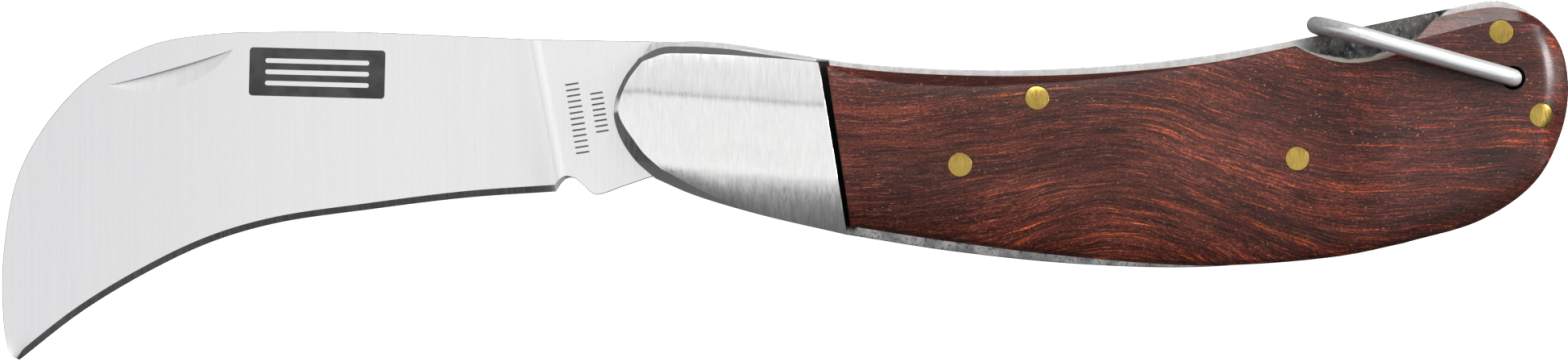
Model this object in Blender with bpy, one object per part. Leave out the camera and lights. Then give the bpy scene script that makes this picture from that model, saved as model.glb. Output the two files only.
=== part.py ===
"""Folding pruning knife with a hooked blade, a slip-joint backspring, riveted wooden scales and a wire bail.

The knife lies on its side with the blade open. It is drawn in millimetres in the pivot frame: x runs from the
blade's pivot to the butt, y to the spine and z, from the middle of the thickness, to the marked side. The empty
"knife" carries that frame, so that the world's origin is under the middle of the whole knife, on the table.
"""

import math

import bmesh
import bpy
from mathutils import Vector

MM = 0.001

# Thicknesses, measured from the middle plane outwards
BLADE_HALF = 1.4
SIDE_PLAY = 0.1
LINER_IN = BLADE_HALF + SIDE_PLAY
LINER_OUT = LINER_IN + 1.0
LAYER_GAP = 0.05
COVER_IN = LINER_OUT + LAYER_GAP
COVER_OUT = 8.0
BUTT_OUT = 5.5
RADIAL_GAP = 0.05

# The knife's box in the pivot frame, which puts the origin under its middle
BOX_X = (-79.96, 101.6)
BOX_Y = (-28.95, 12.8)

# Joints
CLOSED_DEG = 155.0
SPRING_FACE_DEG = 82.4
SPRING_FACE = 6.1
PIVOT_RADIUS = 2.0
BAIL_HOLE = (95.05, 3.83)
BAIL_HOLE_RADIUS = 1.4
BAIL_REACH = 23.33
BAIL_DEG = 164.5
BAIL_WIRE = 1.0
BAIL_BEND = 7.0
BAIL_HOOK_BEND = 1.6
BAIL_END_Z = 0.6

# Pins and rivets
PIN_RADIUS = 1.4
PIN_RECESS = 0.03
SPRING_PIN = (40.0, 1.5)
BUTT_PIN_UPPER = (93.7, 9.16)
BUTT_PIN_LOWER = (98.3, -0.5)
SCALE_RIVETS = {"fore": (31.1, -6.2), "aft": (70.1, -5.5)}
BOLSTER_RIVET_RADIUS = 1.0
BOLSTER_RIVETS = {"upper": (9.5, 3.4), "lower": (12.5, -8.2)}
BOLSTER_RIVET_END = 5.2
PIVOT_END = 6.4

# Blade
TANG_CORNER = 6.9
TANG_PLAY = 0.05
SHOULDER_X = 0.2
SPRING_END_X = 0.4
SPINE_HALF = (0.75, 1.25)
BEVEL_HALF = 0.3
EDGE_HALF = 0.03
KICK = (-10.93, -9.68)
NICK_ENDS = ((-67.3, 3.2), (-53.2, 6.9))
NICK_SAG = 2.1
NICK_DEPTH = 0.7

# Covers: how their outer faces curve down to the edges
CROWN_LINE = [(-9, -0.5), (16, -2.3), (45, -6.2), (75, -4.0), (102, 2.5)]
CROWN_RISE = 0.06
CROWN_SPREAD = 18.3
SWELL = (45.0, 77.0)
RIM_WALL = 0.5
RIM_SHOULDER = 0.94
RIM_WIDTH = 1.3

PITCH = 1.6
STEEL = ((0.72, 0.72, 0.71), 0.28, 1.0)
DULL_STEEL = ((0.46, 0.46, 0.45), 0.5, 1.0)
BOLSTER_STEEL = ((0.78, 0.78, 0.76), 0.22, 1.0)
BRASS = ((0.72, 0.53, 0.17), 0.35, 1.0)
WOOD = ((0.26, 0.085, 0.055), 0.45, 0.0)


# ---------------------------------------------------------------- outlines

def smooth(points, pitch=PITCH):
    """Points on a centripetal Catmull-Rom curve through the given ones, about a pitch apart."""
    p = [Vector(q) for q in points]
    p = [2 * p[0] - p[1], *p, 2 * p[-1] - p[-2]]
    made = []
    for a, b, c, d in zip(p, p[1:], p[2:], p[3:]):
        t1 = (b - a).length ** 0.5
        t2 = t1 + (c - b).length ** 0.5
        t3 = t2 + (d - c).length ** 0.5
        steps = max(1, round((c - b).length / pitch))
        for i in range(steps):
            t = t1 + (t2 - t1) * i / steps
            ab = a.lerp(b, t / t1)
            bc = b.lerp(c, (t - t1) / (t2 - t1))
            cd = c.lerp(d, (t - t2) / (t3 - t2))
            abc = ab.lerp(bc, t / t2)
            bcd = bc.lerp(cd, (t - t1) / (t3 - t1))
            made.append(abc.lerp(bcd, (t - t1) / (t2 - t1)))
    return made + [p[-2]]


def arc(radius, start_deg, end_deg, steps):
    """Points round the pivot from one angle to the other."""
    turns = [math.radians(start_deg + (end_deg - start_deg) * i / steps) for i in range(steps + 1)]
    return [radius * Vector((math.cos(t), math.sin(t))) for t in turns]


def along(curve, x):
    """The height of a left-to-right curve at x."""
    for a, b in zip(curve, curve[1:]):
        if x <= b[0]:
            return a[1] + (b[1] - a[1]) * (x - a[0]) / (b[0] - a[0])
    return curve[-1][1]


def normal(deg):
    return Vector((math.cos(math.radians(deg)), math.sin(math.radians(deg))))


SPINE = smooth([
    (SPRING_END_X, 8.2), (4.0, 7.95), (11.5, 6.8), (19.0, 5.6), (33.9, 4.8),
    (48.9, 5.3), (60.0, 6.5), (71.3, 8.5), (87.7, 11.85),
])
BUTT_CAP = smooth([(87.7, 11.85), (90.9, 12.55), (93.7, 12.8), (97.1, 11.6), (99.6, 9.5), (100.7, 7.6)])
STEEL_BUTT = smooth([(100.7, 7.6), (101.1, 3.4), (100.3, -2.2), (97.0, -8.0), (91.5, -12.0), (82.4, -14.9)])
STEEL_BELLY = smooth([(82.4, -14.9), (75.0, -16.4), (60.0, -18.0), (45.1, -17.7), (30.2, -16.2), (18.1, -14.3)])
BOLSTER_BELLY = smooth([(18.1, -14.3), (7.8, -11.9), (0.3, -9.65), (-4.0, -7.8)])
BOLSTER_NOSE = smooth([(-4.0, -7.8), (-6.5, -5.5), (-8.3, -2.5), (-8.8, 0.3), (-7.7, 3.6), (-5.9, 6.1)])


def liner_outline():
    nose = [p * 0.985 for p in BOLSTER_NOSE]
    return [*SPINE, *BUTT_CAP[1:], *STEEL_BUTT[1:], *STEEL_BELLY[1:], *BOLSTER_BELLY[1:-1], *nose, Vector((-4.6, 7.85))]


def bolster_outline():
    top = smooth([(-5.9, 6.1), (-3.5, 7.3), (-0.6, 7.45), (4.0, 7.2), (9.4, 6.4), (14.8, 5.65)])
    return [*top, *BOLSTER_BELLY, *BOLSTER_NOSE[1:-1]]


def scale_outline():
    top = smooth([(15.9, 5.3), (22.7, 4.55), (32.1, 4.1), (41.4, 4.1), (50.8, 4.6), (60.1, 5.6), (69.4, 7.4), (87.0, 11.0)])
    butt = smooth([
        (87.0, 11.0), (90.9, 11.8), (93.7, 12.0), (97.3, 11.1), (100.4, 8.2),
        (101.6, 3.3), (100.8, -2.5), (97.5, -8.4), (91.5, -12.6), (82.5, -15.3),
    ])
    belly = smooth([(82.5, -15.3), (75.0, -16.8), (60.1, -17.85), (45.1, -16.9), (30.2, -15.1), (19.0, -13.1)])
    return [*top, *butt[1:], *belly[1:]]


def notch_outline():
    """The cut through the scale in which the bail's bend lies."""
    low = smooth([(69.3, 7.9), (72.1, 6.5), (74.6, 5.75), (77.3, 5.6), (81.4, 6.5), (83.8, 8.2)], 0.8)
    return [Vector((66.0, 9.3)), *low, Vector((86.4, 11.0)), Vector((88.8, 14.0)), Vector((66.0, 14.0))]


def spring_outline():
    face = normal(SPRING_FACE_DEG)
    slope = -face.x / face.y
    under = [(x, SPRING_FACE / face.y + slope * x) for x in (SPRING_END_X, 14.3)]
    belly = smooth([
        under[1], (20.0, 2.9), (30.0, 1.6), (36.0, -0.8), (40.0, -1.7), (44.0, -0.9),
        (52.0, 1.6), (60.0, 2.6), (72.0, 4.7), (79.0, 5.4), (83.5, 3.0), (85.6, -1.0), (87.2, -6.0), (91.2, -10.6),
    ])
    tail = [p for p in STEEL_BUTT if p.y > -11.0]
    return [Vector(under[0]), *belly, *reversed(tail), *reversed(BUTT_CAP[:-1]), *reversed(SPINE[:-1])]


# ---------------------------------------------------------------- outer faces of the covers

def face_height(x, y):
    """How far a cover's arched face stands from the middle plane, before its rim is rounded and its crown cut flat."""
    share = min(max((x - SWELL[0]) / (SWELL[1] - SWELL[0]), 0), 1)
    thick = COVER_OUT - (COVER_OUT - BUTT_OUT) * share * share * (3 - 2 * share)
    off = (y - along(CROWN_LINE, x)) / CROWN_SPREAD
    return COVER_IN + (thick - COVER_IN) * (1 + CROWN_RISE - off * off)


def to_outline(point, outline):
    """Distance from a point to the nearest stretch of a closed outline."""
    best = math.inf
    for a, b in zip(outline, [*outline[1:], outline[0]]):
        t = min(max((point - a).dot(b - a) / (b - a).length_squared, 0), 1)
        best = min(best, (point - a.lerp(b, t)).length)
    return best


def rim_share(inset):
    """Share of the face's height that the rim has at a distance inside the outline."""
    if inset <= RIM_WIDTH:
        return RIM_WALL + (RIM_SHOULDER - RIM_WALL) * inset / RIM_WIDTH
    return min(1.0, RIM_SHOULDER + (1 - RIM_SHOULDER) * (inset - RIM_WIDTH) / RIM_WIDTH)


def cover_height(point, inset):
    full = face_height(point.x, point.y)
    return COVER_IN + (full - COVER_IN) * rim_share(inset)


def inset_outline(outline, distance):
    """The outline, which runs clockwise, moved inwards. Points that would cross at a corner meet there instead."""
    if not distance:
        return outline
    made = []
    for before, here, after in zip([outline[-1], *outline[:-1]], outline, [*outline[1:], outline[0]]):
        a, b = (here - before).normalized(), (after - here).normalized()
        inward = Vector((a.y + b.y, -a.x - b.x)).normalized()
        made.append(here + inward * distance / max(0.5, inward.dot(Vector((a.y, -a.x)))))
    clear = [p for p in made if to_outline(p, outline) > 0.97 * distance]
    return [min(clear, key=lambda q: (q - p).length) for p in made]


# ---------------------------------------------------------------- making solids

def material(name, look):
    made = bpy.data.materials.get(name) or bpy.data.materials.new(name)
    made.use_nodes = True
    shader = made.node_tree.nodes["Principled BSDF"]
    colour, roughness, metallic = look
    shader.inputs["Base Color"].default_value = (*colour, 1)
    shader.inputs["Roughness"].default_value = roughness
    shader.inputs["Metallic"].default_value = metallic
    made.diffuse_color = (*colour, 1)
    return made


def add_object(name, bm, look_name=None, look=None):
    """An object from a bmesh in millimetres, on the knife's empty. With no look it is a cutter."""
    bmesh.ops.recalc_face_normals(bm, faces=bm.faces)
    bmesh.ops.scale(bm, vec=(MM, MM, MM), verts=bm.verts)
    mesh = bpy.data.meshes.new(name)
    bm.to_mesh(mesh)
    bm.free()
    made = bpy.data.objects.new(name, mesh)
    bpy.context.scene.collection.objects.link(made)
    made.parent = KNIFE
    if look is None:
        made.hide_render = True
        made.display_type = "WIRE"
    else:
        mesh.materials.append(material(look_name, look))
        mesh.shade_smooth()
        mesh.set_sharp_from_angle(angle=math.radians(30))
    return made


def prism(outline, low, high):
    """A bmesh of the outline between two heights."""
    bm = bmesh.new()
    face = bm.faces.new([bm.verts.new((p[0], p[1], low)) for p in outline])
    top = bmesh.ops.extrude_face_region(bm, geom=[face])
    bmesh.ops.translate(bm, vec=(0, 0, high - low), verts=[v for v in top["geom"] if isinstance(v, bmesh.types.BMVert)])
    return bm


def rod(centre, radius, low, high, steps=24):
    """A bmesh of a round bar along z. Its ends may each be a height or a function of the point."""
    bm = bmesh.new()
    rings = []
    for end in (low, high):
        points = [Vector(centre) + p for p in arc(radius, 0, 360, steps)[:-1]]
        heights = [end(p) if callable(end) else end for p in points]
        rings.append([bm.verts.new((*p, h)) for p, h in zip(points, heights)])
    for i in range(steps):
        j = (i + 1) % steps
        bm.faces.new((rings[0][i], rings[0][j], rings[1][j], rings[1][i]))
    for ring in rings:
        bm.faces.new(ring)
    return bm


def flip(bm, side):
    bmesh.ops.scale(bm, vec=(1, 1, side), verts=bm.verts)
    return bm


def cut(target, cutter):
    modifier = target.modifiers.new(cutter.name, "BOOLEAN")
    modifier.operation = "DIFFERENCE"
    modifier.solver = "EXACT"
    modifier.object = cutter


def drill(target, centre, radius, low, high):
    cut(target, add_object(f"{target.name}_hole_{len(target.modifiers)}", rod(centre, radius, low, high)))


def cover(outline):
    """A bmesh of a bolster or scale: a wall round the outline, a chamfered rim and a crowned outer face."""
    bm = bmesh.new()
    rings = [[bm.verts.new((*p, COVER_IN)) for p in outline]]
    for inset in (0.0, RIM_WIDTH, 2 * RIM_WIDTH):
        ring = inset_outline(outline, inset)
        rings.append([bm.verts.new((*p, cover_height(p, inset))) for p in ring])
    inner = inset_outline(outline, 2 * RIM_WIDTH)
    middle = sum(inner, Vector((0, 0))) / len(inner)
    for share in (0.72, 0.45, 0.2):
        ring = [middle.lerp(p, share) for p in inner]
        rings.append([bm.verts.new((*p, face_height(*p))) for p in ring])
    for lower, upper in zip(rings, rings[1:]):
        for i in range(len(lower)):
            j = (i + 1) % len(lower)
            bm.faces.new((lower[i], lower[j], upper[j], upper[i]))
    peak = bm.verts.new((*middle, face_height(*middle)))
    for i, vert in enumerate(rings[-1]):
        bm.faces.new((vert, rings[-1][(i + 1) % len(rings[-1])], peak))
    bm.faces.new(rings[0])
    bmesh.ops.remove_doubles(bm, verts=bm.verts, dist=0.01)
    return bm


# ---------------------------------------------------------------- the pieces

def blade_lines():
    """Matching points, tip to plunge, on the spine, on the top of the bevel and on the edge."""
    spine = smooth([
        (-79.2, -28.3), (-79.8, -24.4), (-79.75, -16.0), (-77.6, -6.2), (-70.8, 3.1), (-63.0, 7.6), (-55.9, 8.95),
        (-48.3, 9.25), (-38.0, 9.2), (-27.0, 8.75), (-17.7, 8.35),
    ], 1.9)
    edge = smooth([
        (-77.9, -28.95), (-70.9, -23.35), (-63.3, -18.75), (-55.8, -15.2), (-48.3, -13.0),
        (-37.1, -11.35), (-25.9, -10.0), (-15.6, -9.3),
    ], 1.9)
    count = len(spine)
    matched = [edge[0].lerp(edge[0], 0)]
    for i in range(1, count):
        place = (len(edge) - 1) * i / (count - 1)
        low = min(int(place), len(edge) - 2)
        matched.append(edge[low].lerp(edge[low + 1], place - low))
    bevel = []
    for i, point in enumerate(matched):
        ahead = matched[min(i + 1, count - 1)] - matched[max(i - 1, 0)]
        bevel.append(point + Vector((-ahead.y, ahead.x)).normalized() * 0.78)
    return spine, bevel, matched


def tang_outline():
    """From the plunge's top, round the tang and the kick, to the plunge's foot in the choil."""
    open_face = normal(SPRING_FACE_DEG)
    closed_face = normal(SPRING_FACE_DEG - CLOSED_DEG)
    bearing = SPRING_FACE - TANG_PLAY
    half = math.degrees(math.acos(bearing / TANG_CORNER))
    shoulder_low = (bearing - open_face.x * SHOULDER_X) / open_face.y
    round_end = arc(TANG_CORNER, SPRING_FACE_DEG - half, SPRING_FACE_DEG - CLOSED_DEG + half, 10)
    kick = Vector(KICK) - closed_face * (Vector(KICK).dot(closed_face) - bearing)
    choil = smooth([(-11.8, -9.4), (-12.6, -8.3), (-13.5, -7.75), (-14.3, -7.75)], 0.5)
    return [
        Vector((-17.0, 8.32)), Vector((-3.5, 8.05)), Vector((SHOULDER_X, 8.2)),
        Vector((SHOULDER_X, shoulder_low)), *round_end, kick, *choil,
    ]


def blade_mesh():
    """The blade's marked half is laid out, mirrored to the other face and closed along the outline."""
    bm = bmesh.new()
    spine, bevel, edge = blade_lines()
    count = len(spine)
    tang = tang_outline()
    halves = []
    for side in (1, -1):
        def vert(point, half):
            return bm.verts.new((point[0], point[1], side * half))
        thin, thick = SPINE_HALF
        s = [vert(p, thin + (thick - thin) * i / (count - 1)) for i, p in enumerate(spine)]
        b = [vert(p, BEVEL_HALF) for p in bevel]
        e = [vert(p, EDGE_HALF) for p in edge]
        t = [vert(p, BLADE_HALF) for p in tang]
        for i in range(count - 1):
            bm.faces.new((s[i], s[i + 1], b[i + 1], b[i]))
            bm.faces.new((b[i], b[i + 1], e[i + 1], e[i]))
        tip = vert((-78.9, -28.95), EDGE_HALF * 2)
        bm.faces.new((s[0], b[0], e[0], tip))
        bm.faces.new((s[-1], t[0], t[-1], b[-1]))
        bm.faces.new(t)
        halves.append([*s, *t, b[-1], *reversed(e), tip])
    for i in range(len(halves[0])):
        j = (i + 1) % len(halves[0])
        bm.faces.new((halves[0][i], halves[0][j], halves[1][j], halves[1][i]))
    return bm


def nick_cutter():
    """A scoop with a straight wall towards the spine and a floor that rises to a curved edge."""
    a, b = (Vector(p) for p in NICK_ENDS)
    across = Vector((b.y - a.y, a.x - b.x)).normalized()
    steps = 14
    above = BLADE_HALF + 1.0
    bm = bmesh.new()
    rows = []
    for i in range(steps + 1):
        t = i / steps
        bow = max(4 * t * (1 - t), 0.02)
        wall = a.lerp(b, t)
        lip = wall + across * NICK_SAG * bow
        surface = BLADE_HALF - 0.02
        rows.append([bm.verts.new(q) for q in (
            (*wall, above), (*lip, above), (*lip, surface), (*wall, surface - NICK_DEPTH * bow),
        )])
    for one, two in zip(rows, rows[1:]):
        for k in range(4):
            bm.faces.new((one[k], one[(k + 1) % 4], two[(k + 1) % 4], two[k]))
    bm.faces.new(rows[0])
    bm.faces.new(rows[-1])
    return bm


def make_blade():
    blade = add_object("blade", blade_mesh(), "satin_steel", STEEL)
    drill(blade, (0, 0), PIVOT_RADIUS + RADIAL_GAP, -BLADE_HALF - 1, BLADE_HALF + 1)
    cut(blade, add_object("blade_nick", nick_cutter()))


def make_spring():
    spring = add_object("backspring", prism(spring_outline(), -BLADE_HALF, BLADE_HALF), "spring_steel", DULL_STEEL)
    for centre in (SPRING_PIN, BUTT_PIN_UPPER, BUTT_PIN_LOWER):
        drill(spring, centre, PIN_RADIUS + RADIAL_GAP, -BLADE_HALF - 1, BLADE_HALF + 1)
    drill(spring, BAIL_HOLE, BAIL_HOLE_RADIUS, -BLADE_HALF - 1, BLADE_HALF + 1)


def make_liner(word, side):
    liner = add_object(f"{word}_liner", flip(prism(liner_outline(), LINER_IN, LINER_OUT), side), "liner_steel", DULL_STEEL)
    reach = sorted((side * (LINER_IN - 0.5), side * (LINER_OUT + 0.5)))
    drill(liner, (0, 0), PIVOT_RADIUS + RADIAL_GAP, *reach)
    for centre in (SPRING_PIN, BUTT_PIN_UPPER, BUTT_PIN_LOWER, *SCALE_RIVETS.values()):
        drill(liner, centre, PIN_RADIUS + RADIAL_GAP, *reach)
    for centre in BOLSTER_RIVETS.values():
        drill(liner, centre, BOLSTER_RIVET_RADIUS + RADIAL_GAP, *reach)
    drill(liner, BAIL_HOLE, BAIL_HOLE_RADIUS, *reach)


def lap(target, side):
    """Cuts the crown down to a flat land, which the knife rests on."""
    around = [(BOX_X[0], BOX_Y[0]), (BOX_X[1], BOX_Y[0]), (BOX_X[1], BOX_Y[1]), (BOX_X[0], BOX_Y[1])]
    cut(target, add_object(f"{target.name}_lap", flip(prism(around, COVER_OUT, COVER_OUT + 3), side)))


def make_bolster(word, side):
    bolster = add_object(f"{word}_bolster", flip(cover(bolster_outline()), side), "bolster_steel", BOLSTER_STEEL)
    lap(bolster, side)
    start = side * (COVER_IN - 0.5)
    drill(bolster, (0, 0), PIVOT_RADIUS + RADIAL_GAP, *sorted((start, side * (PIVOT_END + RADIAL_GAP))))
    for centre in BOLSTER_RIVETS.values():
        reach = sorted((start, side * (BOLSTER_RIVET_END + RADIAL_GAP)))
        drill(bolster, centre, BOLSTER_RIVET_RADIUS + RADIAL_GAP, *reach)


def make_scale(word, side):
    scale = add_object(f"{word}_scale", flip(cover(scale_outline()), side), "red_hardwood", WOOD)
    lap(scale, side)
    reach = sorted((side * (COVER_IN - 0.5), side * (COVER_OUT + 1)))
    cut(scale, add_object(f"{word}_scale_notch", prism(notch_outline(), *reach)))
    for centre in (SPRING_PIN, BUTT_PIN_UPPER, BUTT_PIN_LOWER, *SCALE_RIVETS.values()):
        drill(scale, centre, PIN_RADIUS + RADIAL_GAP, *reach)
    drill(scale, BAIL_HOLE, BAIL_HOLE_RADIUS, *reach)


def make_pins():
    outline = scale_outline()

    def flush(point):
        return min(COVER_OUT, cover_height(point, to_outline(point, outline))) - PIN_RECESS

    def below(point):
        return -flush(point)

    add_object("pivot_pin", rod((0, 0), PIVOT_RADIUS, -PIVOT_END, PIVOT_END), "pin_steel", STEEL)
    through = {"spring_pin": SPRING_PIN, "butt_pin_upper": BUTT_PIN_UPPER, "butt_pin_lower": BUTT_PIN_LOWER}
    for name, centre in through.items():
        add_object(name, rod(centre, PIN_RADIUS, below, flush), "brass", BRASS)
    for word, side in SIDES.items():
        for place, centre in SCALE_RIVETS.items():
            bm = flip(rod(centre, PIN_RADIUS, LINER_IN, flush), side)
            add_object(f"{word}_scale_rivet_{place}", bm, "brass", BRASS)
        for place, centre in BOLSTER_RIVETS.items():
            bm = flip(rod(centre, BOLSTER_RIVET_RADIUS, LINER_IN, BOLSTER_RIVET_END), side)
            add_object(f"{word}_bolster_rivet_{place}", bm, "pin_steel", STEEL)


def bail_path():
    """Half of the bail's centre line in its own frame: x along the leg, z out of the hole on the marked side."""
    hook = [(0, BAIL_END_Z)]
    for i in range(7):
        turn = math.radians(90 * i / 6)
        hook.append((BAIL_HOOK_BEND * (1 - math.cos(turn)), BAIL_BEND - BAIL_HOOK_BEND * (1 - math.sin(turn))))
    bend = []
    for i in range(13):
        turn = math.radians(90 * i / 12)
        bend.append((BAIL_REACH - BAIL_BEND * (1 - math.sin(turn)), BAIL_BEND * math.cos(turn)))
    return hook + bend


def make_bail():
    half = bail_path()
    line = [*half, *[(x, -z) for x, z in reversed(half[:-1])]]
    curve = bpy.data.curves.new("bail", "CURVE")
    curve.dimensions = "3D"
    curve.bevel_depth = BAIL_WIRE * MM
    curve.bevel_resolution = 3
    curve.use_fill_caps = True
    spline = curve.splines.new("POLY")
    spline.points.add(len(line) - 1)
    for point, (x, z) in zip(spline.points, line):
        point.co = (x * MM, 0, z * MM, 1)
    curve.materials.append(material("wire_steel", STEEL))
    bail = bpy.data.objects.new("bail", curve)
    bpy.context.scene.collection.objects.link(bail)
    bail.parent = KNIFE
    bail.location = (BAIL_HOLE[0] * MM, BAIL_HOLE[1] * MM, 0)
    bail.rotation_euler = (0, 0, math.radians(BAIL_DEG))


for old in list(bpy.data.objects):
    bpy.data.objects.remove(old)

SIDES = {"front": 1, "back": -1}
KNIFE = bpy.data.objects.new("knife", None)
bpy.context.scene.collection.objects.link(KNIFE)
KNIFE.location = (-sum(BOX_X) / 2 * MM, -sum(BOX_Y) / 2 * MM, COVER_OUT * MM)

make_blade()
make_spring()
for side_word, side_sign in SIDES.items():
    make_liner(side_word, side_sign)
    make_bolster(side_word, side_sign)
    make_scale(side_word, side_sign)
make_pins()
make_bail()
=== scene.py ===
"""The looks of the folding pruning knife: ground steel, brushed bolsters, hardwood, brass pins and a wire bail.

Every shape is laid out in millimetres in the pivot frame: x runs from the blade's pivot to the butt, y to the
spine and z, from the middle of the thickness, to the marked side. settle() takes a piece to its real place.
"""

import math

import bpy
import numpy as np
from mathutils import Matrix, Vector


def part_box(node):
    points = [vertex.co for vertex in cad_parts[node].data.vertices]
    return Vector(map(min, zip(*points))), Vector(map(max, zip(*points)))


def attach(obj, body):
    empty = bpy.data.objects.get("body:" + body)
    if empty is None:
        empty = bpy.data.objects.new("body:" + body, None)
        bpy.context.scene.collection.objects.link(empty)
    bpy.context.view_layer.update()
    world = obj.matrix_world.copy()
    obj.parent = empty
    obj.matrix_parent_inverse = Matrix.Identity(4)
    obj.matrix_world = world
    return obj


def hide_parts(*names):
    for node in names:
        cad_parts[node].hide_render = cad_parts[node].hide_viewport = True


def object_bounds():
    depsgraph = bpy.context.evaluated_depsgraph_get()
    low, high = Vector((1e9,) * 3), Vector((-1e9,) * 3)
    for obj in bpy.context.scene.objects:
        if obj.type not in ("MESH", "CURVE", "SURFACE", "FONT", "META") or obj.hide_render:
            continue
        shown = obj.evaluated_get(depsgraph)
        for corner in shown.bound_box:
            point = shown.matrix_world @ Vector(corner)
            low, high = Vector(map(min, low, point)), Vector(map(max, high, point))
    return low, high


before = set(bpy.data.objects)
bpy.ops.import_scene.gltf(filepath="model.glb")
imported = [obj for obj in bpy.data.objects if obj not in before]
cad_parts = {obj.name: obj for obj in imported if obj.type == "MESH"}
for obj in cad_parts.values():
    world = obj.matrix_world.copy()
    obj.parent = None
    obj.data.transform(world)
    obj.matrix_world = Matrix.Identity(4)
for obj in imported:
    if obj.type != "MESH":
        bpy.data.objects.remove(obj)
cad_box = [list(corner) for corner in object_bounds()]

MM = 0.001


def middle(node):
    """The middle of a CAD node, in metres."""
    low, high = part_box(node)
    return (low + high) / 2


PIVOT = middle("pivot_pin")


def spot(node):
    """Where a CAD node's middle is in the pivot frame, in millimetres."""
    place = (middle(node) - PIVOT) / MM
    return Vector((place.x, place.y))


# ---- sizes, in millimetres

FINE = 0.45  # the pitch of points along the outlines
CLEAR = 3.0  # how far a cutter stands past what it cuts
ABOVE = 12.0  # higher than any piece
ROUND_STEPS = 64  # sides of a round bar or hole

# heights from the middle plane
BLADE_HALF = 1.4
LINER_IN = 1.5
LINER_OUT = 2.5
COVER_IN = 2.55
COVER_OUT = 8.0
BUTT_OUT = 5.5

# the blade: thickness at spine and bevel, widths of its ground edges, and where the grind runs out
SPINE_HALF = (0.8, 1.25)
BEVEL_HALF = 0.42
EDGE_HALF = 0.03
BEVEL_WIDTH = 0.8
CHAMFER = 0.07
PLUNGE = (-21.0, -14.2)
BLADE_COLUMNS = 150
BLADE_ROWS = 13
TANG_RUN = 1.9  # behind the choil, over which the edge's bevel gives way to the tang's chamfer
TANG_STEP = (0.2, 6.05)  # where the back steps down to lie against the backspring, and to what height
TANG_RADIUS = 6.9
TANG_TURN = 60.0
TANG_STEPS = 8
NICK_START = (-67.6, 3.05)
NICK_END = (-53.1, 7.2)
NICK_SAG = 2.45
NICK_DEPTH = 0.55
NICK_STEPS = 48

# the plain marks: left, right, low and high
MARK_PANEL = (-51.25, -35.5, 1.65, 7.25)
MARK_CORNER = 0.42
MARK_BAR_ENDS = (-49.4, -37.35)
MARK_BAR_LEVELS = (5.75, 4.45, 3.15)
MARK_BAR_HALF = 0.27
MARK_BAR_CORNER = 0.25
MARK_DEPTH = 0.04
MARK_CENTRE = (-43.4, 4.45)
MARK_TILT = -1.5
STAMP_COLUMNS = ((-14.0, -12.4, -5.0, 3.7, 13), (-11.3, -9.8, -2.9, 2.2, 8))  # the last number counts strokes
STAMP_HALF = 0.1
STAMP_CORNER = 0.09
STAMP_DEPTH = 0.05
STAMP_CENTRE = (-12.2, -0.5)
STAMP_TILT = 9.0

# the covers: where the ridge of their crown runs, how steeply they fall from it, and where the scale thins
CROWN_LINE = [(-9, -1.6), (16, -3.5), (45, -6.2), (75, -4.0), (102, 2.5)]
CROWN_SPREAD = 18.3
CROWN_RISE = 0.048
SWELL = (45.0, 77.0)
COVER_WALL = 0.6  # the least height of a cover's wall
CUT_BREAK = 0.06  # the broken edge along the straight cuts
CUT_SLOPE = 0.8
TOP_FACET = [  # the width of the facet along the scale's top, from front to butt
    (16, 0.3), (19, 0.9), (24, 1.3), (32, 1.3), (40, 0.95), (50, 0.5),
    (60, 0.15), (78, 0.15), (83, 2.1), (91, 1.8), (97, 1.2),
]
RINGS = ((0, 0.03), (0.5, 0.015), (1, 0.0))  # shares of the chamfer, and what is added, for the rings down it
BOLSTER_SLICES = (np.arange(-8, 18, 0.8), np.arange(-13.5, 7.5, 0.55))
SCALE_SLICES = (np.append(np.arange(16.5, 94.0, 0.8), np.arange(94.0, 101.5, 0.35)), np.arange(-17.5, 12.0, 0.7))

LINER_DROP = 0.42  # how far the liner lies below the backspring's top over the bolster
PLATE_BREAK = 0.12  # the broken edges of liners and backspring

PIN_RADIUS = 1.4
PIN_CROWN = ((0.05, 0.035), (0.25, 0.02), (0.4, 0.012), (0.4, 0.006))  # inset and rise of each step of a head
PIN_SINK = 0.055
HOLE_RADIUS = 1.42
PIVOT_HOLE_RADIUS = 2.05

# the bail's wire, and the hole it turns in
WIRE_RADIUS = 1.0
BAIL_HOLE_RADIUS = 1.4
BAIL_HOLE = (95.05, 3.83)
BLIND_HALF = 0.5  # half of what the blind bail holes leave in the backspring
BAIL_DEG = 164.5
BAIL_REACH = 23.33
BAIL_BEND = 7.0
BAIL_HOOK_BEND = 1.6
BAIL_END_Z = 0.6
HOOK_STEPS = 14
LEG_STEPS = 12
BEND_STEPS = 36

THROUGH_PINS = ("spring_pin", "butt_pin_upper", "butt_pin_lower")
RIVETS = ("front_scale_rivet_fore", "front_scale_rivet_aft")


# ---- outlines

def step(value, low, high):
    """0 below low, 1 above high and a smooth rise between."""
    share = np.clip((value - low) / (high - low), 0, 1)
    return share * share * (3 - 2 * share)


def smooth(points, pitch=FINE):
    """Points on a centripetal Catmull-Rom curve through the given ones, about a pitch apart."""
    p = [Vector(q) for q in points]
    p = [2 * p[0] - p[1], *p, 2 * p[-1] - p[-2]]
    made = []
    for a, b, c, d in zip(p, p[1:], p[2:], p[3:]):
        t1 = (b - a).length ** 0.5
        t2 = t1 + (c - b).length ** 0.5
        t3 = t2 + (d - c).length ** 0.5
        steps = max(1, round((c - b).length / pitch))
        for i in range(steps):
            t = t1 + (t2 - t1) * i / steps
            ab = a.lerp(b, t / t1)
            bc = b.lerp(c, (t - t1) / (t2 - t1))
            cd = c.lerp(d, (t - t2) / (t3 - t2))
            abc = ab.lerp(bc, t / t2)
            bcd = bc.lerp(cd, (t - t1) / (t3 - t1))
            made.append(abc.lerp(bcd, (t - t1) / (t2 - t1)))
    return made + [p[-2]]


def straight(a, b):
    """Points from a up to, but without, b."""
    a, b = Vector(a), Vector(b)
    steps = max(1, round((b - a).length / FINE))
    return [a.lerp(b, i / steps) for i in range(steps)]


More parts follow.
